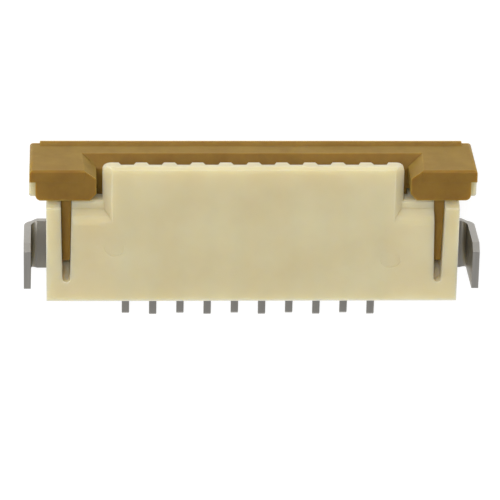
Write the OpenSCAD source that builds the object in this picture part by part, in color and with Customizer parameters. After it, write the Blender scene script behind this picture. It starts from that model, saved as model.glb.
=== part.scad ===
// Right-angle, surface-mount, zero-insertion-force connector for a flat flex cable.
// A slider wedges the flex up against a row of forked contacts under the roof.
//
// Frame: Z = 0 is the board and +Z points away from it. X runs along the contact
// row. The flex enters from -Y and the solder tails leave at +Y. The origin is on
// the board, midway along the row and midway between the rear wall and the roof edge.
// The slider is drawn shut; it opens by moving towards -Y.

/* [Contact row] */
// Number of contacts
contact_count = 10; // [4:2:20]
// Distance between neighbouring contacts
pitch = 1; // [0.9:0.05:1.5]
// Thickness of the strip that the contacts are blanked from
contact_t = 0.27; // [0.2:0.01:0.3]
// Play between a contact and each side of its slot
contact_play = 0.015; // [0.01:0.005:0.03]

/* [Housing] */
// Height of the housing above the board
body_h = 2.6; // [2.45:0.05:3]
// From the end contact's centre line to the housing's side
body_end = 2.88; // [2.8:0.02:3.2]
// From the rear wall to the front edge of the roof
roof_l = 5.14; // [5.1:0.02:5.8]
// From the rear wall to the front of the two end shoulders
shoulder_l = 3.77; // [3.6:0.01:3.9]
// From the end contact's centre line to the side of the roof
roof_end = 0.875; // [0.6:0.025:0.95]
// Height of the flex slot's ceiling above the board
ceiling_z = 1.65; // [1.63:0.01:1.8]
// Thickness of the floor that the slider's tongue runs on
floor_t = 0.62; // [0.58:0.02:0.7]
// Thickness of the skin left over the contact slots
roof_skin = 0.3; // [0.2:0.05:0.35]
// From the rear wall to the stop that the flex meets
stop_l = 1.05; // [0.95:0.05:1.2]
// Plan radius at the roof's front corners
roof_r = 0.3; // [0.1:0.05:0.5]
// Chamfer along the roof's front top edge
roof_edge = 0.1; // [0.05:0.01:0.2]
// Height of the bevel down each side of the roof
bevel_h = 0.35; // [0.2:0.05:0.5]
// Width of the bevel down each side of the roof
bevel_w = 0.33; // [0.2:0.01:0.4]
// Length of the ramp that drops from the top to the shoulder
ramp_l = 0.35; // [0.3:0.01:0.5]
// Radius that blends the ramp into the top
ramp_r = 0.5; // [0.2:0.05:0.8]
// How far the shoulder lies below the top
shoulder_drop = 0.28; // [0.2:0.02:0.34]
// Flat left between the ramp and the front of the shoulder
shoulder_flat = 0.3; // [0.2:0.05:0.5]
// Chamfer along the shoulder's front top edge
shoulder_edge = 0.06; // [0.03:0.01:0.07]

/* [Flex entry] */
// From the end contact's centre line to the guides beside the flex
guide_end = 1.1; // [1.05:0.01:1.2]
// Length of the lead-in under the roof's front edge
leadin_l = 0.55; // [0.3:0.05:0.8]
// Rise of the lead-in under the roof's front edge
leadin_h = 0.43; // [0.2:0.01:0.45]
// Width of a contact slot's mouth along the roof's lower edge
mouth_w = 0.61; // [0.5:0.01:0.7]
// Width of a contact slot's mouth at its top
mouth_top_w = 0.45; // [0.36:0.01:0.5]
// Depth of a contact slot's mouth behind the roof's front edge
mouth_l = 0.3; // [0.1:0.05:0.4]

/* [Spring arms] */
// From the end contact's centre line to the middle of the slit
slit_end = 2.17; // [2.1:0.01:2.2]
// Width of the slit at its open end
slit_mouth_w = 0.4; // [0.38:0.01:0.44]
// Width of the slit at its closed end
slit_tip_w = 0.28; // [0.24:0.01:0.32]
// From the rear wall to the closed end of the slit
slit_start = 0.72; // [0.6:0.01:0.9]
// Length of the web left under the slit's closed end
web_l = 0.6; // [0.4:0.05:0.65]
// Height of the web at its front
web_z0 = 1.2; // [0.8:0.1:1.4]
// Height of the web at the slit's closed end
web_z1 = 2.2; // [1.6:0.05:2.3]
// Length of the slope that steps down from the top to an arm
arm_step_l = 0.2; // [0.1:0.05:0.3]
// How far an arm's ear stands out past the housing's side
ear_w = 0.61; // [0.45:0.01:0.7]
// Length of the ear along the arm
ear_l = 0.58; // [0.3:0.02:0.7]
// Height of the ear's underside above the board
ear_z = 0.5; // [0.3:0.05:1]
// Radius of the ear's rear corner
ear_r = 0.08; // [0.05:0.01:0.2]

/* [Slider] */
// Gap under the slider, which keeps it off the board
slider_lift = 0.05; // [0.03:0.01:0.1]
// Height of the slider's end blocks above the board
slider_h = 2.56; // [2.45:0.01:2.6]
// Gap along the slide between the housing and the shut slider
shut_gap = 0.09; // [0.08:0.01:0.2]
// Length of the end blocks along the slide, at the bottom
block_l = 1.24; // [1.1:0.01:1.3]
// How far the mould's draft sets the top of the front back from its bottom
front_draft = 0.1; // [0.05:0.01:0.2]
// How far the slider travels from shut to open
travel = 1.2; // [1:0.05:1.3]
// Height of the flex bed, which is the top of the bar and tongue
bed_z = 1.35; // [1.25:0.05:1.4]
// Height at which the bar's lead-in slope starts
bar_front_z = 0.95; // [0.5:0.05:1.05]
// Length of the bar's lead-in slope
bar_slope_l = 0.47; // [0.3:0.01:0.6]
// Distance from the rear wall to the shut tongue's tip
tongue_start = 1.55; // [1.4:0.05:1.8]
// Depth of the taper under and over the tongue's tip
tongue_tip = 0.2; // [0.1:0.01:0.25]
// Play between the tongue and the floor, and beside the tongue
tongue_play = 0.04; // [0.03:0.01:0.08]
// Thickness of the caps over the spring arms
cap_t = 0.32; // [0.2:0.02:0.4]
// Play between a cap and the arm below it
cap_play = 0.07; // [0.05:0.01:0.12]
// From the end contact's centre line to the outer side of a cap
cap_end = 3.26; // [3.1:0.01:3.3]
// From the end contact's centre line to the outer side of the front flange
flange_end = 3.47; // [3.4:0.01:3.6]
// Thickness of the front flange along the top
flange_t = 0.44; // [0.3:0.01:0.5]
// Height by which the flange stands above the caps
flange_step = 0.02; // [0.02:0.01:0.06]
// Chamfer along the flange's front top edge
flange_edge = 0.06; // [0.03:0.01:0.1]
// Radius of the flange's upright edges
flange_r = 0.12; // [0.05:0.01:0.15]
// How far the lip along the bottom stands out in front
lip_p = 0.09; // [0.05:0.01:0.2]
// Height of the lip's upright front
lip_t = 0.1; // [0.05:0.01:0.15]
// Height over which the lip slopes out from the front
lip_h = 0.3; // [0.2:0.01:0.4]
// Distance that the lip stops short of each flange end
lip_inset = 0.36; // [0.2:0.01:0.5]
// Width of the lead-in chamfer on each block's inner front corner
guide_c_w = 0.43; // [0.2:0.01:0.5]
// Length of the lead-in chamfer on each block's inner front corner
guide_c_l = 0.32; // [0.1:0.01:0.4]
// Width of the chamfer on each block's inner rear corner
rear_c_w = 0.23; // [0.1:0.01:0.3]
// Length of the chamfer on each block's inner rear corner
rear_c_l = 0.25; // [0.1:0.01:0.4]
// Radius of each cap's outer rear corner
cap_r = 0.2; // [0.1:0.01:0.3]

/* [Slider legs] */
// Width of a leg where it leaves its block
leg_root_w = 0.375; // [0.3:0.005:0.38]
// Width of a leg at its tip
leg_tip_w = 0.275; // [0.2:0.005:0.28]
// Chamfer on each corner of a leg's tip
leg_c = 0.05; // [0.03:0.01:0.1]
// From the rear wall to a shut leg's tip
leg_start = 1.42; // [1.2:0.01:1.5]
// Height of a leg's underside above the board
leg_z0 = 0.55; // [0.4:0.05:0.7]
// Height of a leg's top above the board
leg_z1 = 2.2; // [2:0.05:2.3]
// How far a leg's latch bump stands out from its side
bump_p = 0.13; // [0.1:0.01:0.16]
// Length of a latch bump
bump_l = 0.32; // [0.2:0.02:0.4]
// Height of a latch bump
bump_h = 0.6; // [0.4:0.05:0.8]
// Play between a latch bump and the pocket that traps it
bump_play = 0.04; // [0.03:0.01:0.06]

/* [Contacts] */
// From the rear wall to the front of a contact's spine
spine_l = 0.86; // [0.7:0.02:0.95]
// Inset of the spine from the rear wall
spine_inset = 0.06; // [0:0.01:0.1]
// Height of the lower arm's seat above the board
seat_z = 0.2; // [0.15:0.01:0.25]
// Depth of the lower arm at its root
lower_root = 0.36; // [0.3:0.01:0.38]
// Depth of the lower arm at its tip
lower_tip = 0.22; // [0.15:0.01:0.3]
// From the rear wall to the lower arm's tip
lower_l = 3.5; // [3:0.05:3.55]
// Gap left in the floor ahead of the lower arm's tip
lower_gap = 0.1; // [0.05:0.01:0.2]
// Depth of the upper arm at its root
upper_root = 0.3; // [0.24:0.01:0.36]
// Depth of the upper arm at its tip
upper_tip = 0.17; // [0.14:0.01:0.2]
// Fall of the upper arm's back from root to tip
upper_fall = 0.12; // [0.08:0.01:0.2]
// From the rear wall to the upper arm's tip
upper_l = 4.55; // [4.3:0.05:4.65]
// From the rear wall to the point that touches the flex
point_l = 4.15; // [3.9:0.05:4.2]
// Height of the contact point above the board
point_z = 1.56; // [1.5:0.01:1.6]
// Radius of the contact point
point_r = 0.14; // [0.1:0.01:0.16]
// Spread of the contact point's front flank at its root
point_front = 0.22; // [0.18:0.01:0.3]
// Spread of the contact point's rear flank at its root
point_back = 0.34; // [0.2:0.01:0.5]
// How far a tail reaches behind the rear wall
tail_l = 1.57; // [1:0.01:1.65]
// Extra reach of every second tail
tail_stagger = 0.05; // [0:0.01:0.1]
// Thickness of a tail at its toe
tail_toe = 0.16; // [0.12:0.01:0.2]
// Thickness of a tail where it leaves the housing
tail_root = 0.26; // [0.2:0.01:0.3]
// Length of the tail inside the housing
tail_heel = 0.45; // [0.35:0.01:0.5]
// How far behind the rear wall a tail starts to thin
tail_knee = 0.04; // [0.02:0.01:0.2]

/* [Fitting nails] */
// Thickness of the sheet
nail_t = 0.25; // [0.2:0.01:0.3]
// Width of the outer flange, along the side of the housing
nail_l = 1.68; // [1.5:0.02:1.9]
// How far the foot stands out past each edge of the flange
foot_extra = 0.08; // [0.02:0.01:0.12]
// From the rear wall to the outer flange's rear edge
nail_start = 0.39; // [0.35:0.01:0.6]
// From the end contact's centre line to the outer face of the nail
nail_end = 3.69; // [3.65:0.01:3.9]
// Height of the outer flange
nail_h = 2.38; // [2:0.02:2.5]
// Outside radius of the bends
nail_r = 0.46; // [0.32:0.01:0.5]
// Chamfer on the outer flange's front top corner
nail_c = 0.25; // [0.15:0.01:0.4]
// From the end contact's centre line to the inner face of the pressed leg
nail_leg_end = 1.43; // [1.4:0.01:1.46]
// Height of the pressed leg
nail_leg_h = 1.8; // [1.4:0.05:2]
// Inset of the pressed leg from each edge of the strip
nail_leg_inset = 0.25; // [0.2:0.01:0.35]
// Play between the pressed leg and each face of its slot
nail_play = 0.015; // [0.01:0.005:0.03]
// How far a barb stands out from the pressed leg's edge
barb_p = 0.05; // [0.03:0.01:0.08]
// Length of a barb along the pressed leg
barb_l = 0.3; // [0.2:0.02:0.4]

/* [Moulding marks] */
// Radius of the two round marks on the top
mark_r = 0.36; // [0.2:0.02:0.5]
// Depth of the two round marks
mark_depth = 0.02; // [0.01:0.01:0.05]
// From the end contact's centre line to a mark's centre
mark_end = 0.45; // [0.3:0.05:0.6]
// From the rear wall to the mark near the first contact
mark_a_l = 2.1; // [1.8:0.05:2.3]
// From the rear wall to the mark near the last contact
mark_b_l = 1.62; // [1.4:0.02:1.9]

/* [Hidden] */
$fn = 48;
eps = 0.01;
row_half = pitch * (contact_count - 1) / 2;
rear_y = roof_l / 2;
body_half = row_half + body_end;
roof_half = row_half + roof_end;
guide_half = row_half + guide_end;
slit_x = row_half + slit_end;
arm_in = slit_x + slit_mouth_w / 2;
// heights
slot_top = body_h - roof_skin;
bevel_z = body_h - bevel_h;
shoulder_z = body_h - shoulder_drop;
cap_z = slider_h - cap_t;
arm_z = cap_z - cap_play;
roof_lip_z = ceiling_z + leadin_h;
tongue_z = floor_t + tongue_play;
// distances ahead of the rear wall
block_start = shoulder_l + shut_gap;
slider_front = block_start + block_l;
top_front = slider_front - front_draft;
flange_start = top_front - flange_t;
front_lean = atan(front_draft / (slider_h - slider_lift));
arm_front = flange_start - shut_gap;
ramp_end = shoulder_l - shoulder_flat;
ramp_start = ramp_end - ramp_l;
groove_end = lower_l + lower_gap;
// slider widths
core_out = arm_in - tongue_play;
guide_top = guide_half + guide_c_w;
guide_mouth = guide_half + guide_c_w * (1 + front_draft / guide_c_l);
cap_half = row_half + cap_end;
flange_half = row_half + flange_end;
// fitting nails
nail_half = row_half + nail_end;
nail_leg_in = row_half + nail_leg_end;
nail_front = nail_start + nail_l;
foot_start = nail_start - foot_extra;
foot_front = nail_front + foot_extra;
bend_in = nail_r - nail_t;

CONTACT_NAMES = [for (i = [1 : contact_count]) str("contact_", i < 10 ? "0" : "", i)];

// Y of a place that lies d ahead of the rear wall
function ahead(d) = rear_y - d;

// Side profile: children are drawn in [distance ahead of the rear wall, Z]
module side_profile(x0, x1) {
    translate([x0, rear_y, 0])
        rotate([90, 0, 90])
            linear_extrude(x1 - x0)
                mirror([1, 0])
                    children();
}

// Cross-section: children are drawn in [X, Z] and run from d0 to d1 ahead of the rear wall
module cross_section(d0, d1) {
    translate([0, ahead(d0), 0])
        rotate([90, 0, 0])
            linear_extrude(d1 - d0)
                children();
}

// Plan: children are drawn in [X, distance ahead of the rear wall]
module plan(z0, z1) {
    translate([0, rear_y, z0])
        linear_extrude(z1 - z0)
            mirror([0, 1])
                children();
}

module rect(a0, a1, b0, b1) {
    translate([a0, b0])
        square([a1 - a0, b1 - b0]);
}

module both_ends() {
    children();
    mirror([1, 0, 0])
        children();
}

// What a radius takes off an outer corner of a plan; way is 1 for a front corner, -1 for a rear one
module corner_waste(x, d, r, way = 1) {
    mid_d = d - way * r;
    end_d = d + way * eps;
    difference() {
        rect(x - r, x + eps, min(mid_d, end_d), max(mid_d, end_d));
        translate([x - r, mid_d])
            circle(r);
    }
}

// ---------------------------------------------------------------- housing

module roof_outline() {
    polygon([
        [stop_l, ceiling_z],
        [roof_l - leadin_l, ceiling_z],
        [roof_l, roof_lip_z],
        [roof_l, body_h - roof_edge],
        [roof_l - roof_edge, body_h],
        [stop_l, body_h]
    ]);
}

module spring_arm() {
    side_profile(arm_in, body_half)
        polygon([
            [shoulder_l - arm_step_l, 0],
            [arm_front, 0],
            [arm_front, arm_z],
            [shoulder_l + eps, arm_z],
            [shoulder_l - arm_step_l, body_h]
        ]);
    plan(ear_z, arm_z)
        difference() {
            rect(body_half - eps, body_half + ear_w, arm_front - ear_l, arm_front);
            corner_waste(body_half + ear_w, arm_front - ear_l, ear_r, -1);
        }
}

// Slope from the top down to the level of the spring arm
module arm_step() {
    side_profile(slit_x, body_half + eps)
        polygon([
            [shoulder_l - arm_step_l, body_h],
            [shoulder_l, arm_z],
            [shoulder_l + eps, body_h + eps],
            [shoulder_l - arm_step_l, body_h + eps]
        ]);
}

// Everything that a contact needs cut away, from its tail to the mouth at the roof's edge
module contact_slot() {
    half = contact_t / 2 + contact_play;
    side_profile(-half, half)
        union() {
            rect(-eps, stop_l + eps, seat_z, slot_top);
            rect(-eps, tail_heel + contact_play, -eps, seat_z + eps);
            rect(stop_l, groove_end, seat_z, floor_t + eps);
            rect(stop_l, roof_l + eps, ceiling_z - eps, slot_top);
        }
    cross_section(roof_l - mouth_l, roof_l + eps)
        polygon([
            [-mouth_w / 2, ceiling_z],
            [mouth_w / 2, ceiling_z],
            [mouth_w / 2, roof_lip_z],
            [mouth_top_w / 2, slot_top],
            [-mouth_top_w / 2, slot_top],
            [-mouth_w / 2, roof_lip_z]
        ]);
}

// Slit beside a spring arm; a sloping web closes the bottom of its rear end
module slit() {
    tip = slit_tip_w / 2;
    mouth = slit_mouth_w / 2;
    difference() {
        plan(-eps, body_h + eps)
            translate([slit_x, 0])
                union() {
                    translate([0, slit_start + tip])
                        circle(tip);
                    polygon([
                        [-tip, slit_start + tip],
                        [tip, slit_start + tip],
                        [mouth, shoulder_l + eps],
                        [-mouth, shoulder_l + eps]
                    ]);
                }
        side_profile(slit_x - mouth, slit_x + mouth)
            polygon([
                [slit_start - eps, -2 * eps],
                [slit_start + web_l, -2 * eps],
                [slit_start + web_l, web_z0],
                [slit_start - eps, web_z1]
            ]);
    }
}

// Blind pocket in the spring arm that traps the leg's latch bump over its whole travel
module latch_pocket() {
    mid_z = (leg_z0 + leg_z1) / 2;
    translate([0, 0, mid_z - bump_h / 2 - bump_play])
        plan(0, bump_h + 2 * bump_play)
            rect(
                slit_x,
                slit_x + leg_tip_w / 2 + bump_p + bump_play,
                leg_start - bump_play,
                leg_start + bump_l + travel + bump_play
            );
}

// Side profile of the cut above a shoulder: a ramp that rolls into the top, then a flat
module shoulder_cut() {
    slope = atan(shoulder_drop / ramp_l);
    roll = ramp_r * tan(slope / 2);
    polygon([
        [ramp_start, body_h],
        [ramp_end, shoulder_z],
        [shoulder_l - shoulder_edge, shoulder_z],
        [shoulder_l, shoulder_z - shoulder_edge],
        [shoulder_l, bevel_z],
        [roof_l + eps, bevel_z],
        [roof_l + eps, body_h + eps],
        [ramp_start, body_h + eps]
    ]);
    difference() {
        rect(ramp_start - roll, ramp_start + roll * cos(slope), body_h - roll * sin(slope), body_h + eps);
        translate([ramp_start - roll, body_h - ramp_r])
            circle(ramp_r);
    }
}

// Recess of one shoulder, bounded by the bevel down the roof's side
module shoulder_recess() {
    far = slit_x;
    intersection() {
        side_profile(roof_half - bevel_w - eps, far)
            shoulder_cut();
        cross_section(0, roof_l + eps)
            polygon([
                [roof_half, ceiling_z],
                [roof_half, bevel_z],
                [roof_half - bevel_w, body_h],
                [roof_half - bevel_w, body_h + eps],
                [far, body_h + eps],
                [far, ceiling_z]
            ]);
    }
}

// Recess under the body for the nail's foot, and the slot that its leg is pressed into
module nail_seat() {
    leg_out = nail_leg_in + nail_t;
    leg0 = nail_start + nail_leg_inset - barb_p;
    leg1 = nail_front - nail_leg_inset + barb_p;
    cross_section(foot_start, foot_front)
        rect(nail_leg_in - nail_play, body_half + eps, -eps, nail_t);
    cross_section(foot_start, foot_front)
        rect(nail_leg_in - nail_play, leg_out + bend_in, 0, nail_r);
    cross_section(leg0, leg1)
        rect(nail_leg_in - nail_play, leg_out + nail_play, 0, nail_leg_h);
}

module moulding_mark(x, d) {
    translate([x, ahead(d), body_h - mark_depth])
        cylinder(r = mark_r, h = mark_depth + eps);
}

module housing() {
    color("#D2C7A3")
        difference() {
            union() {
                side_profile(-body_half, body_half)
                    rect(0, shoulder_l, 0, body_h);
                side_profile(-roof_half, roof_half)
                    roof_outline();
                both_ends()
                    spring_arm();
            }
            // flex slot and the tunnel for the slider's tongue
            side_profile(-guide_half, guide_half)
                rect(stop_l, shoulder_l + eps, floor_t, ceiling_z);
            for (i = [0 : contact_count - 1])
                translate([i * pitch - row_half, 0, 0])
                    contact_slot();
            both_ends() {
                slit();
                latch_pocket();
                shoulder_recess();
                nail_seat();
                arm_step();
                plan(ceiling_z - eps, body_h + eps)
                    corner_waste(roof_half, roof_l, roof_r);
            }
            moulding_mark(row_half + mark_end, mark_a_l);
            moulding_mark(-row_half - mark_end, mark_b_l);
        }
}

// ----------------------------------------------------------------- slider

// Cross bar at the front, with the flex's lead-in slope
module cross_bar() {
    half = guide_mouth + eps;
    side_profile(-half, half)
        polygon([
            [block_start, slider_lift],
            [slider_front, slider_lift],
            [slider_front, bar_front_z],
            [slider_front - bar_slope_l, bed_z],
            [block_start, bed_z]
        ]);
}

// Tongue that slides in under the flex
module tongue() {
    half = guide_half - tongue_play;
    side_profile(-half, half)
        polygon([
            [tongue_start, tongue_z + tongue_tip / 2],
            [tongue_start + tongue_tip / 2, tongue_z],
            [block_start + eps, tongue_z],
            [block_start + eps, bed_z],
            [tongue_start + 2 * tongue_tip, bed_z],
            [tongue_start, bed_z - tongue_tip]
        ]);
}

// Solid part of an end block, between the flex's edge and the spring arm
module block_core() {
    plan(slider_lift, slider_h - flange_step)
        polygon([
            [guide_half + rear_c_w, block_start],
            [core_out, block_start],
            [core_out, slider_front],
            [guide_mouth, slider_front],
            [guide_half, top_front - guide_c_l],
            [guide_half, block_start + rear_c_l]
        ]);
}

// Cap that covers the spring arm's tip
module arm_cap() {
    plan(cap_z, slider_h - flange_step)
        difference() {
            rect(core_out - eps, cap_half, block_start, flange_start + eps);
            corner_waste(cap_half, block_start, cap_r, -1);
        }
}

module front_flange() {
    plan(slider_lift, slider_h)
        polygon([
            [guide_top, flange_start],
            [flange_half, flange_start],
            [flange_half, slider_front],
            [guide_mouth, slider_front],
            [guide_top, top_front]
        ]);
}

// What the draft, the corner radii and the top edge's chamfer take off the front
module front_waste() {
    side_profile(-flange_half - eps, flange_half + eps)
        polygon([
            [top_front - flange_edge, slider_h],
            [top_front + flange_edge, slider_h - 2 * flange_edge],
            [top_front + flange_edge, slider_h + eps],
            [top_front - flange_edge, slider_h + eps]
        ]);
    translate([0, ahead(slider_front), slider_lift])
        rotate([-front_lean, 0, 0])
            translate([0, -ahead(slider_front), 0])
                plan(-slider_h, slider_h) {
                    rect(-flange_half - eps, flange_half + eps, slider_front, slider_front + block_l);
                    corner_waste(flange_half, slider_front, flange_r);
                    mirror([1, 0])
                        corner_waste(flange_half, slider_front, flange_r);
                }
}

// Leg that runs back in the slit, with the bump that its pocket traps
module slider_leg() {
    tip = leg_tip_w / 2;
    root = leg_root_w / 2;
    mid_z = (leg_z0 + leg_z1) / 2;
    plan(leg_z0, leg_z1)
        translate([slit_x, 0])
            polygon([
                [-tip + leg_c, leg_start],
                [tip - leg_c, leg_start],
                [tip, leg_start + leg_c],
                [root, block_start],
                [core_out - slit_x, block_start],
                [core_out - slit_x, block_start + eps],
                [-root, block_start + eps],
                [-root, block_start],
                [-tip, leg_start + leg_c]
            ]);
    plan(mid_z - bump_h / 2, mid_z + bump_h / 2)
        translate([slit_x, leg_start])
            polygon([
                [0, tip / 2],
                [tip, tip / 2],
                [tip + bump_p, bump_l / 2],
                [tip + bump_p, bump_l],
                [0, bump_l]
            ]);
}

// Lip along the bottom that slopes out from the leaning front
module bottom_lip() {
    half = flange_half - lip_inset;
    root = slider_front - lip_h * tan(front_lean);
    side_profile(-half, half)
        polygon([
            [root - eps, slider_lift],
            [slider_front + lip_p, slider_lift],
            [slider_front + lip_p, slider_lift + lip_t],
            [root, slider_lift + lip_h],
            [root - eps, slider_lift + lip_h]
        ]);
}

module slider() {
    color("#A08450")
        union() {
            difference() {
                union() {
                    cross_bar();
                    both_ends() {
                        block_core();
                        arm_cap();
                        front_flange();
                    }
                }
                front_waste();
            }
            tongue();
            bottom_lip();
            both_ends()
                slider_leg();
        }
}

// --------------------------------------------------------------- contacts

// Forked side profile: spine, sprung upper arm, fixed lower arm and solder tail
module contact_outline(reach) {
    upper_back = slot_top - upper_fall;
    union() {
        rect(spine_inset, spine_l, seat_z, slot_top);
        // upper arm
        polygon([
            [spine_l - eps, slot_top - upper_root],
            [upper_l, upper_back - upper_tip],
            [upper_l, upper_back - upper_tip / 2],
            [upper_l - upper_tip / 2, upper_back],
            [spine_l - eps, slot_top]
        ]);
        // contact point
        translate([point_l, point_z + point_r])
            circle(point_r);
        polygon([
            [point_l - point_r, point_z + point_r],
            [point_l + point_r, point_z + point_r],
            [point_l + point_front, upper_back - upper_tip / 2],
            [point_l - point_back, upper_back - upper_tip / 2]
        ]);
        // lower arm
        polygon([
            [spine_l - eps, seat_z],
            [lower_l, seat_z],
            [lower_l, seat_z + lower_tip],
            [spine_l - eps, seat_z + lower_root]
        ]);
        // solder tail
        polygon([
            [-reach, 0],
            [tail_heel, 0],
            [tail_heel, seat_z + eps],
            [spine_inset, seat_z + eps],
            [-tail_knee, tail_root],
            [-reach + tail_toe / 2, tail_toe],
            [-reach, tail_toe / 2]
        ]);
    }
}

module contact(i) {
    reach = tail_l + (1 - i % 2) * tail_stagger;
    color("#8F8D88")
        translate([i * pitch - row_half, 0, 0])
            side_profile(-contact_t / 2, contact_t / 2)
                contact_outline(reach);
}

// ----------------------------------------------------------- fitting nails

// Trough: a rectangle with its two lower corners rounded
module trough(x0, x1, z0, z1, r) {
    rect(x0, x1, z0 + r, z1);
    rect(x0 + r, x1 - r, z0, z0 + r);
    translate([x0 + r, z0 + r])
        circle(r);
    translate([x1 - r, z0 + r])
        circle(r);
}

// What takes the strip from the foot's width to the flange's through the bend
module flange_waste() {
    plan(-eps, nail_h + eps) {
        polygon([
            [nail_half - nail_r, foot_front],
            [nail_half - nail_t, nail_front],
            [nail_half + eps, nail_front],
            [nail_half + eps, foot_front + eps],
            [nail_half - nail_r, foot_front + eps]
        ]);
        polygon([
            [nail_half - nail_r, foot_start],
            [nail_half - nail_t, nail_start],
            [nail_half + eps, nail_start],
            [nail_half + eps, foot_start - eps],
            [nail_half - nail_r, foot_start - eps]
        ]);
    }
}

module nail() {
    leg_out = nail_leg_in + nail_t;
    flange_in = nail_half - nail_t;
    leg0 = nail_start + nail_leg_inset;
    leg1 = nail_front - nail_leg_inset;
    barb_z = nail_leg_h - barb_l;
    difference() {
        cross_section(foot_start, foot_front)
            difference() {
                trough(nail_leg_in, nail_half, 0, nail_h, nail_r);
                trough(leg_out, flange_in, nail_t, nail_h + eps, bend_in);
                rect(nail_leg_in - eps, leg_out + eps, nail_leg_h, nail_h + eps);
            }
        flange_waste();
        side_profile(flange_in - eps, nail_half + eps)
            polygon([
                [nail_front - nail_c, nail_h],
                [nail_front, nail_h - nail_c],
                [nail_front + eps, nail_h - nail_c],
                [nail_front + eps, nail_h + eps],
                [nail_front - nail_c, nail_h + eps]
            ]);
        side_profile(nail_leg_in - eps, leg_out + eps)
            union() {
                rect(foot_start - eps, leg0, nail_r, nail_leg_h + eps);
                rect(leg1, foot_front + eps, nail_r, nail_leg_h + eps);
            }
    }
    side_profile(nail_leg_in, leg_out)
        union() {
            polygon([[leg0, barb_z], [leg0 - barb_p, barb_z], [leg0, nail_leg_h]]);
            polygon([[leg1, barb_z], [leg1 + barb_p, barb_z], [leg1, nail_leg_h]]);
        }
}

module nail_right() {
    color("#8A8781")
        nail();
}

module nail_left() {
    color("#8A8781")
        mirror([1, 0, 0])
            nail();
}

// ------------------------------------------------------------------ nodes

housing();
slider();
nail_left();
nail_right();
for (i = [0 : contact_count - 1]) {
    contact(i);
}
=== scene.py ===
"""Looks for a right-angle connector for a flat flex cable: housing, slider, contacts and fitting nails.

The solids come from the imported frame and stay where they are. This script softens their edges by the
radius that each process leaves, gives each its material, and sets the floor, the lights and the camera.
"""

import math

import bpy
from mathutils import Matrix, Vector


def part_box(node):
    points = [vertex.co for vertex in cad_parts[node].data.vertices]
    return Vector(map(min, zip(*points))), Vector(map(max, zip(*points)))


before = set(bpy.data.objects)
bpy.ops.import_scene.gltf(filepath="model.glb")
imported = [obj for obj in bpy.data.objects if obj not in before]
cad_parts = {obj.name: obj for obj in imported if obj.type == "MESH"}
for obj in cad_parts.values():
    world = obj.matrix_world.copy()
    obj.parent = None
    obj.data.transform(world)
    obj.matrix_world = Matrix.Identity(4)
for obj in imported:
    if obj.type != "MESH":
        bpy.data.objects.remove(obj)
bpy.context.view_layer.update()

bl_info = {
    "name": "Flex Connector Looks",
    "version": (1, 0, 0),
    "blender": (4, 5, 0),
    "location": "3D View > Sidebar > Connector",
    "description": "Materials, soft edges, fine grain and stage for a flat flex connector",
    "category": "Object",
}

MM = 0.001
REAR_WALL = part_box("housing")[1].y
CONTACTS = sorted(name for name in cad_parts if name.startswith("contact_"))
NAILS = ("nail_left", "nail_right")

# Edges: what is welded, what counts as one flat face, and what counts as an edge
WELD_GAP = 0.0005 * MM
FLAT_ANGLE = math.radians(0.5)
EDGE_ANGLE = math.radians(25)
EDGE_SEGMENTS = 2

# Both plastics are matt and let light wander mostly onwards
PLASTIC_ROUGHNESS = 0.6
PLASTIC_SPECULAR = 0.2
PLASTIC_ONWARD = 0.8
GRAIN_DEPTH = 0.01 * MM
ROLLING_DEPTH = 0.004 * MM

# Stage, in metres: the lamps are large and far off beside so small a part
FLOOR_HALF = 0.6
KEY_AT = Vector((0.1, -0.2, 0.44))
KEY_SIZE = (0.3, 0.2)
FRONT_AT = Vector((0.05, -0.46, 0.2))
FRONT_SIZE = (0.5, 0.16)
SENSOR_WIDTH = 36
CLIP_NEAR = 0.01
CLIP_FAR = 5


# ------------------------------------------------------------------ settings


def length(name, description, default_mm):
    """A length property, given in millimetres and kept in metres."""
    return bpy.props.FloatProperty(
        name=name, description=description, default=default_mm * MM, min=0.0, unit="LENGTH", precision=5
    )


def share(name, description, default):
    """A property that runs from 0 to 1."""
    return bpy.props.FloatProperty(
        name=name, description=description, default=default, min=0.0, max=1.0, subtype="FACTOR"
    )


def power(name, description, default):
    """A lamp's power in watts."""
    return bpy.props.FloatProperty(name=name, description=description, default=default, min=0.0, unit="POWER")


def turn(name, description, default_degrees):
    """An angle property, given in degrees and kept in radians."""
    return bpy.props.FloatProperty(
        name=name, description=description, default=math.radians(default_degrees), subtype="ANGLE"
    )


def colour(name, description, default):
    """A colour property, given as an sRGB hex value."""
    return bpy.props.StringProperty(name=name, description=description, default=default)


class PlasticSettings(bpy.types.PropertyGroup):
    """The two mouldings."""

    nylon: colour("Nylon", "Natural nylon of the housing, as an sRGB hex value", "#CCC3A3")
    nylon_deep: colour("Nylon, deep", "Darker cast where the nylon is thick, as an sRGB hex value", "#C6BA98")
    nylon_cloud: length("Nylon clouds", "Size of the clouds of tone in the nylon", 2.2)
    nylon_glow: length("Nylon light depth", "How far light travels inside the nylon", 1.2)
    resin: colour("Resin", "Brown resin of the slider, as an sRGB hex value", "#907431")
    resin_deep: colour("Resin, deep", "Darker cast of the slider's resin, as an sRGB hex value", "#846828")
    resin_cloud: length("Resin clouds", "Size of the clouds of tone in the resin", 0.8)
    resin_glow: length("Resin light depth", "How far light travels inside the resin", 0.5)
    edge: length("Moulded edge", "Radius that a mould leaves on every edge", 0.03)
    grit: length("Mould grit", "Size of the grain that the eroded mould leaves", 0.07)


class MetalSettings(bpy.types.PropertyGroup):
    """The contacts and the fitting nails."""

    tin: colour("Tin", "Matt tin plating, as an sRGB hex value", "#A9A6A0")
    matt: share("Tin roughness", "How matt the plating is", 0.42)
    edge: length("Pressed edge", "Radius that blanking leaves on a strip's edge", 0.02)
    line: length("Rolling line", "Spacing of the lines that rolling leaves", 0.05)


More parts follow.
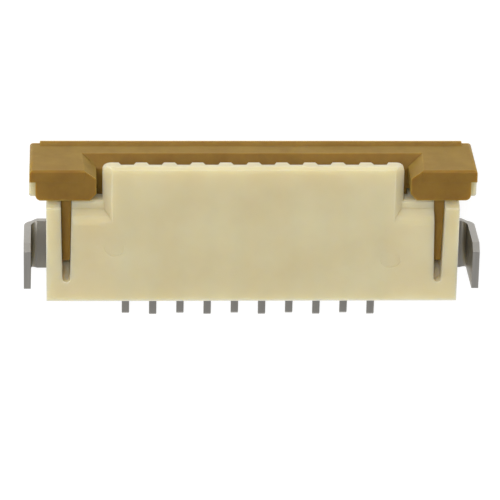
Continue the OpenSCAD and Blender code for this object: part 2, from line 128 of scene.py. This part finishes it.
class StageSettings(bpy.types.PropertyGroup):
    """Floor, lights and camera."""

    floor: colour("Floor", "Plain floor, as an sRGB hex value", "#767676")
    floor_glow: share("Floor glow", "Light that the floor gives off, which keeps it pale", 0.88)
    surround: share("Surround", "Even light from all round", 0.45)
    key: power("Key light", "Power of the softbox above the flex side", 1.85)
    front: power("Front light", "Power of the low softbox in front", 0.12)
    distance: length("Camera distance", "From the camera to what it looks at", 134.8)
    lens: bpy.props.FloatProperty(name="Lens", description="Focal length", default=268.4, unit="CAMERA")
    elevation: turn("Elevation", "Camera above the horizon", 67.14)
    azimuth: turn("Azimuth", "Camera round from the flex side", 7.41)
    roll: turn("Roll", "Camera's turn about its own axis", 1.13)
    from_middle: length("Aim off the middle", "Where the camera looks, from the middle of the row", 0.03)
    from_rear: length("Aim ahead of the rear wall", "Where the camera looks, ahead of the rear wall", 1.438)
    aim_height: length("Aim height", "Where the camera looks, above the board", 1.3)


class ConnectorSettings(bpy.types.PropertyGroup):
    """Everything that a user would change."""

    plastic: bpy.props.PointerProperty(type=PlasticSettings)
    metal: bpy.props.PointerProperty(type=MetalSettings)
    stage: bpy.props.PointerProperty(type=StageSettings)


# ----------------------------------------------------------------- materials


def linear(hex_colour):
    """An sRGB hex value as linear RGBA."""
    parts = [int(hex_colour[i : i + 2], 16) / 255 for i in (1, 3, 5)]
    return [p / 12.92 if p <= 0.04045 else ((p + 0.055) / 1.055) ** 2.4 for p in parts] + [1.0]


def add_node(tree, kind, links=(), **sockets):
    """Adds a node, links each source to its socket and sets the named sockets, with _ for a space."""
    node = tree.nodes.new(kind)
    for source, socket in links:
        tree.links.new(source, node.inputs[socket])
    for socket, value in sockets.items():
        node.inputs[socket.replace("_", " ")].default_value = value
    return node


def new_material(name):
    """An empty material and its shader, joined to the output."""
    material = bpy.data.materials.new(name)
    material.use_nodes = True
    tree = material.node_tree
    tree.nodes.clear()
    shader = add_node(tree, "ShaderNodeBsdfPrincipled")
    add_node(tree, "ShaderNodeOutputMaterial", [(shader.outputs["BSDF"], "Surface")])
    return material, tree, shader


def melt_clouds(tree, shader, where, size, detail, roughness, deep, pale):
    """Clouds of tone, from deep to pale, that the melt leaves where it flowed."""
    cloud = add_node(
        tree, "ShaderNodeTexNoise", [(where, "Vector")], Scale=1 / size, Detail=detail, Roughness=roughness
    )
    tone = add_node(tree, "ShaderNodeValToRGB", [(cloud.outputs["Fac"], "Fac")])
    for stop, position, hex_colour in zip(tone.color_ramp.elements, (0.3, 0.7), (deep, pale)):
        stop.position = position
        stop.color = linear(hex_colour)
    tree.links.new(tone.outputs["Color"], shader.inputs["Base Color"])


def moulded_skin(tree, shader, where, grit, ior, tint, glow):
    """What both plastics share: the mould's grain, a matt skin and light that sinks in."""
    # Spark-eroded mould: real grain is about 0.02 mm, drawn coarser so that it shows.
    grain = add_node(
        tree, "ShaderNodeTexNoise", [(where, "Vector")], Scale=1 / grit, Detail=2.0, Roughness=0.6
    )
    bump = add_node(
        tree, "ShaderNodeBump", [(grain.outputs["Fac"], "Height")], Strength=0.25, Distance=GRAIN_DEPTH
    )
    tree.links.new(bump.outputs["Normal"], shader.inputs["Normal"])
    shader.inputs["Roughness"].default_value = PLASTIC_ROUGHNESS
    shader.inputs["IOR"].default_value = ior
    shader.inputs["Specular IOR Level"].default_value = PLASTIC_SPECULAR
    shader.inputs["Subsurface Weight"].default_value = 1.0
    shader.inputs["Subsurface Radius"].default_value = tint
    shader.inputs["Subsurface Scale"].default_value = glow
    shader.inputs["Subsurface Anisotropy"].default_value = PLASTIC_ONWARD


def natural_nylon_moulded(settings):
    """Natural nylon, injection moulded."""
    # It gives the eye a warm ivory with faint clouds, soft shadows and a fine matt grain.
    material, tree, shader = new_material("natural_nylon_moulded")
    where = add_node(tree, "ShaderNodeTexCoord").outputs["Object"]
    melt_clouds(tree, shader, where, settings.nylon_cloud, 3.0, 0.55, settings.nylon_deep, settings.nylon)
    moulded_skin(tree, shader, where, settings.grit, 1.53, (1.0, 0.9, 0.7), settings.nylon_glow)
    return material


def brown_resin_moulded(settings):
    """Brown filled resin, injection moulded."""
    # It gives the eye a clouded tan-brown that is a little see-through at thin edges.
    material, tree, shader = new_material("brown_resin_moulded")
    where = add_node(tree, "ShaderNodeTexCoord").outputs["Object"]
    melt_clouds(tree, shader, where, settings.resin_cloud, 4.0, 0.6, settings.resin_deep, settings.resin)
    moulded_skin(tree, shader, where, settings.grit, 1.6, (1.0, 0.9, 0.75), settings.resin_glow)
    return material


def tinned_strip(name, settings):
    """Copper alloy strip under matt tin, rolled."""
    # It gives the eye a soft grey shine, broken by fine lines along the rolling direction.
    material, tree, shader = new_material(name)
    where = add_node(tree, "ShaderNodeTexCoord").outputs["Object"]
    # Rolling lines run along Y: the pattern is stretched fifty times that way.
    stretched = add_node(tree, "ShaderNodeMapping", [(where, "Vector")], Scale=(1.0, 1 / 50, 1.0))
    lines = add_node(
        tree, "ShaderNodeTexNoise", [(stretched.outputs["Vector"], "Vector")],
        Scale=1 / settings.line, Detail=3.0, Roughness=0.6,
    )
    rough = add_node(
        tree, "ShaderNodeMapRange", [(lines.outputs["Fac"], "Value")],
        From_Min=0.3, From_Max=0.7, To_Min=settings.matt - 0.06, To_Max=settings.matt + 0.1,
    )
    tree.links.new(rough.outputs["Result"], shader.inputs["Roughness"])
    bump = add_node(
        tree, "ShaderNodeBump", [(lines.outputs["Fac"], "Height")], Strength=0.3, Distance=ROLLING_DEPTH
    )
    tree.links.new(bump.outputs["Normal"], shader.inputs["Normal"])
    shader.inputs["Base Color"].default_value = linear(settings.tin)
    shader.inputs["Metallic"].default_value = 1.0
    return material


def white_acrylic_sheet(settings):
    """White acrylic sheet, cast and lit from below."""
    # It gives the eye a plain pale ground with hardly a shadow.
    material, _, shader = new_material("white_acrylic_sheet")
    shader.inputs["Base Color"].default_value = linear(settings.floor)
    shader.inputs["Roughness"].default_value = 0.8
    shader.inputs["Emission Color"].default_value = (1, 1, 1, 1)
    shader.inputs["Emission Strength"].default_value = settings.floor_glow
    return material


# -------------------------------------------------------------------- pieces


def dress(name, material, edge):
    """Gives a CAD node its material and softens its edges by a real radius."""
    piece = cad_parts[name]
    piece.data.materials.clear()
    piece.data.materials.append(material)
    weld = piece.modifiers.new("weld", "WELD")
    weld.merge_threshold = WELD_GAP
    flat = piece.modifiers.new("flat faces", "DECIMATE")
    flat.decimate_type = "DISSOLVE"
    flat.angle_limit = FLAT_ANGLE
    soft = piece.modifiers.new("soft edges", "BEVEL")
    soft.width = edge
    soft.segments = EDGE_SEGMENTS
    soft.limit_method = "ANGLE"
    soft.angle_limit = EDGE_ANGLE
    soft.use_clamp_overlap = True
    soft.harden_normals = True


class CONNECTOR_OT_housing(bpy.types.Operator):
    """Dress the housing"""

    bl_idname = "connector.housing"
    bl_label = "Housing"

    def execute(self, context):
        settings = context.scene.connector.plastic
        dress("housing", natural_nylon_moulded(settings), settings.edge)
        return {"FINISHED"}


class CONNECTOR_OT_slider(bpy.types.Operator):
    """Dress the slider"""

    bl_idname = "connector.slider"
    bl_label = "Slider"

    def execute(self, context):
        settings = context.scene.connector.plastic
        dress("slider", brown_resin_moulded(settings), settings.edge)
        return {"FINISHED"}


class CONNECTOR_OT_contacts(bpy.types.Operator):
    """Dress the row of contacts"""

    bl_idname = "connector.contacts"
    bl_label = "Contacts"

    def execute(self, context):
        settings = context.scene.connector.metal
        material = tinned_strip("tinned_bronze_blanked", settings)
        for name in CONTACTS:
            dress(name, material, settings.edge)
        return {"FINISHED"}


class CONNECTOR_OT_nails(bpy.types.Operator):
    """Dress the two fitting nails"""

    bl_idname = "connector.nails"
    bl_label = "Fitting nails"

    def execute(self, context):
        settings = context.scene.connector.metal
        material = tinned_strip("tinned_brass_bent", settings)
        for name in NAILS:
            dress(name, material, settings.edge)
        return {"FINISHED"}


# --------------------------------------------------------------------- stage


def lay_floor(scene, settings):
    sheet = bpy.data.meshes.new("floor")
    corners = [(x * FLOOR_HALF, y * FLOOR_HALF, 0) for x, y in ((-1, -1), (1, -1), (1, 1), (-1, 1))]
    sheet.from_pydata(corners, [], [(0, 1, 2, 3)])
    floor = bpy.data.objects.new("floor", sheet)
    scene.collection.objects.link(floor)
    sheet.materials.append(white_acrylic_sheet(settings))


def hang_softbox(scene, name, place_at, target, size, watts):
    """Hangs a rectangular softbox at a place, facing a target."""
    lamp = bpy.data.lights.new(name, "AREA")
    lamp.shape = "RECTANGLE"
    lamp.size, lamp.size_y = size
    lamp.energy = watts
    thing = bpy.data.objects.new(name, lamp)
    scene.collection.objects.link(thing)
    facing = (target - place_at).to_track_quat("-Z", "Y").to_matrix().to_4x4()
    thing.matrix_world = Matrix.Translation(place_at) @ facing


def light_surround(scene, strength):
    world = bpy.data.worlds.new("studio")
    world.use_nodes = True
    background = world.node_tree.nodes["Background"]
    background.inputs["Color"].default_value = (1, 1, 1, 1)
    background.inputs["Strength"].default_value = strength
    scene.world = world


def stand_camera(scene, settings, target):
    """Stands a long lens over the flex side, with that side at the top of the picture."""
    lens = bpy.data.cameras.new("camera")
    lens.lens = settings.lens
    lens.sensor_width = SENSOR_WIDTH
    lens.clip_start = CLIP_NEAR
    lens.clip_end = CLIP_FAR
    camera = bpy.data.objects.new("camera", lens)
    scene.collection.objects.link(camera)
    level = math.cos(settings.elevation)
    back = Vector((
        level * math.sin(settings.azimuth),
        -level * math.cos(settings.azimuth),
        math.sin(settings.elevation),
    ))
    right = (-back).cross(Vector((0, -1, 0))).normalized()
    up = right.cross(-back)
    upright = Matrix((right, up, back)).transposed().to_4x4()
    rolled = upright @ Matrix.Rotation(settings.roll, 4, "Z")
    camera.matrix_world = Matrix.Translation(target + back * settings.distance) @ rolled
    scene.camera = camera


class CONNECTOR_OT_stage(bpy.types.Operator):
    """Set the floor, the lights and the camera"""

    bl_idname = "connector.stage"
    bl_label = "Stage"

    def execute(self, context):
        scene = context.scene
        settings = scene.connector.stage
        target = Vector((settings.from_middle, REAR_WALL - settings.from_rear, settings.aim_height))
        lay_floor(scene, settings)
        hang_softbox(scene, "key_softbox", KEY_AT, target, KEY_SIZE, settings.key)
        hang_softbox(scene, "front_softbox", FRONT_AT, target, FRONT_SIZE, settings.front)
        light_surround(scene, settings.surround)
        stand_camera(scene, settings, target)
        scene.view_settings.view_transform = "Standard"
        return {"FINISHED"}


class CONNECTOR_PT_looks(bpy.types.Panel):
    """Lists the connector's pieces"""

    bl_label = "Flex connector"
    bl_idname = "CONNECTOR_PT_looks"
    bl_space_type = "VIEW_3D"
    bl_region_type = "UI"
    bl_category = "Connector"

    def draw(self, context):
        for operator in OPERATORS:
            self.layout.operator(operator.bl_idname)


SETTINGS = (PlasticSettings, MetalSettings, StageSettings, ConnectorSettings)
OPERATORS = (
    CONNECTOR_OT_housing,
    CONNECTOR_OT_slider,
    CONNECTOR_OT_contacts,
    CONNECTOR_OT_nails,
    CONNECTOR_OT_stage,
)
CLASSES = SETTINGS + OPERATORS + (CONNECTOR_PT_looks,)


def register():
    for cls in CLASSES:
        bpy.utils.register_class(cls)
    bpy.types.Scene.connector = bpy.props.PointerProperty(type=ConnectorSettings)


def unregister():
    del bpy.types.Scene.connector
    for cls in reversed(CLASSES):
        bpy.utils.unregister_class(cls)


def clear_start_scene():
    """Removes what a new file holds."""
    for name in ("Cube", "Light", "Camera"):
        if name in bpy.data.objects:
            bpy.data.objects.remove(bpy.data.objects[name])


def main():
    register()
    clear_start_scene()
    bpy.ops.connector.housing()
    bpy.ops.connector.slider()
    bpy.ops.connector.contacts()
    bpy.ops.connector.nails()
    bpy.ops.connector.stage()


if __name__ == "__main__":
    main()
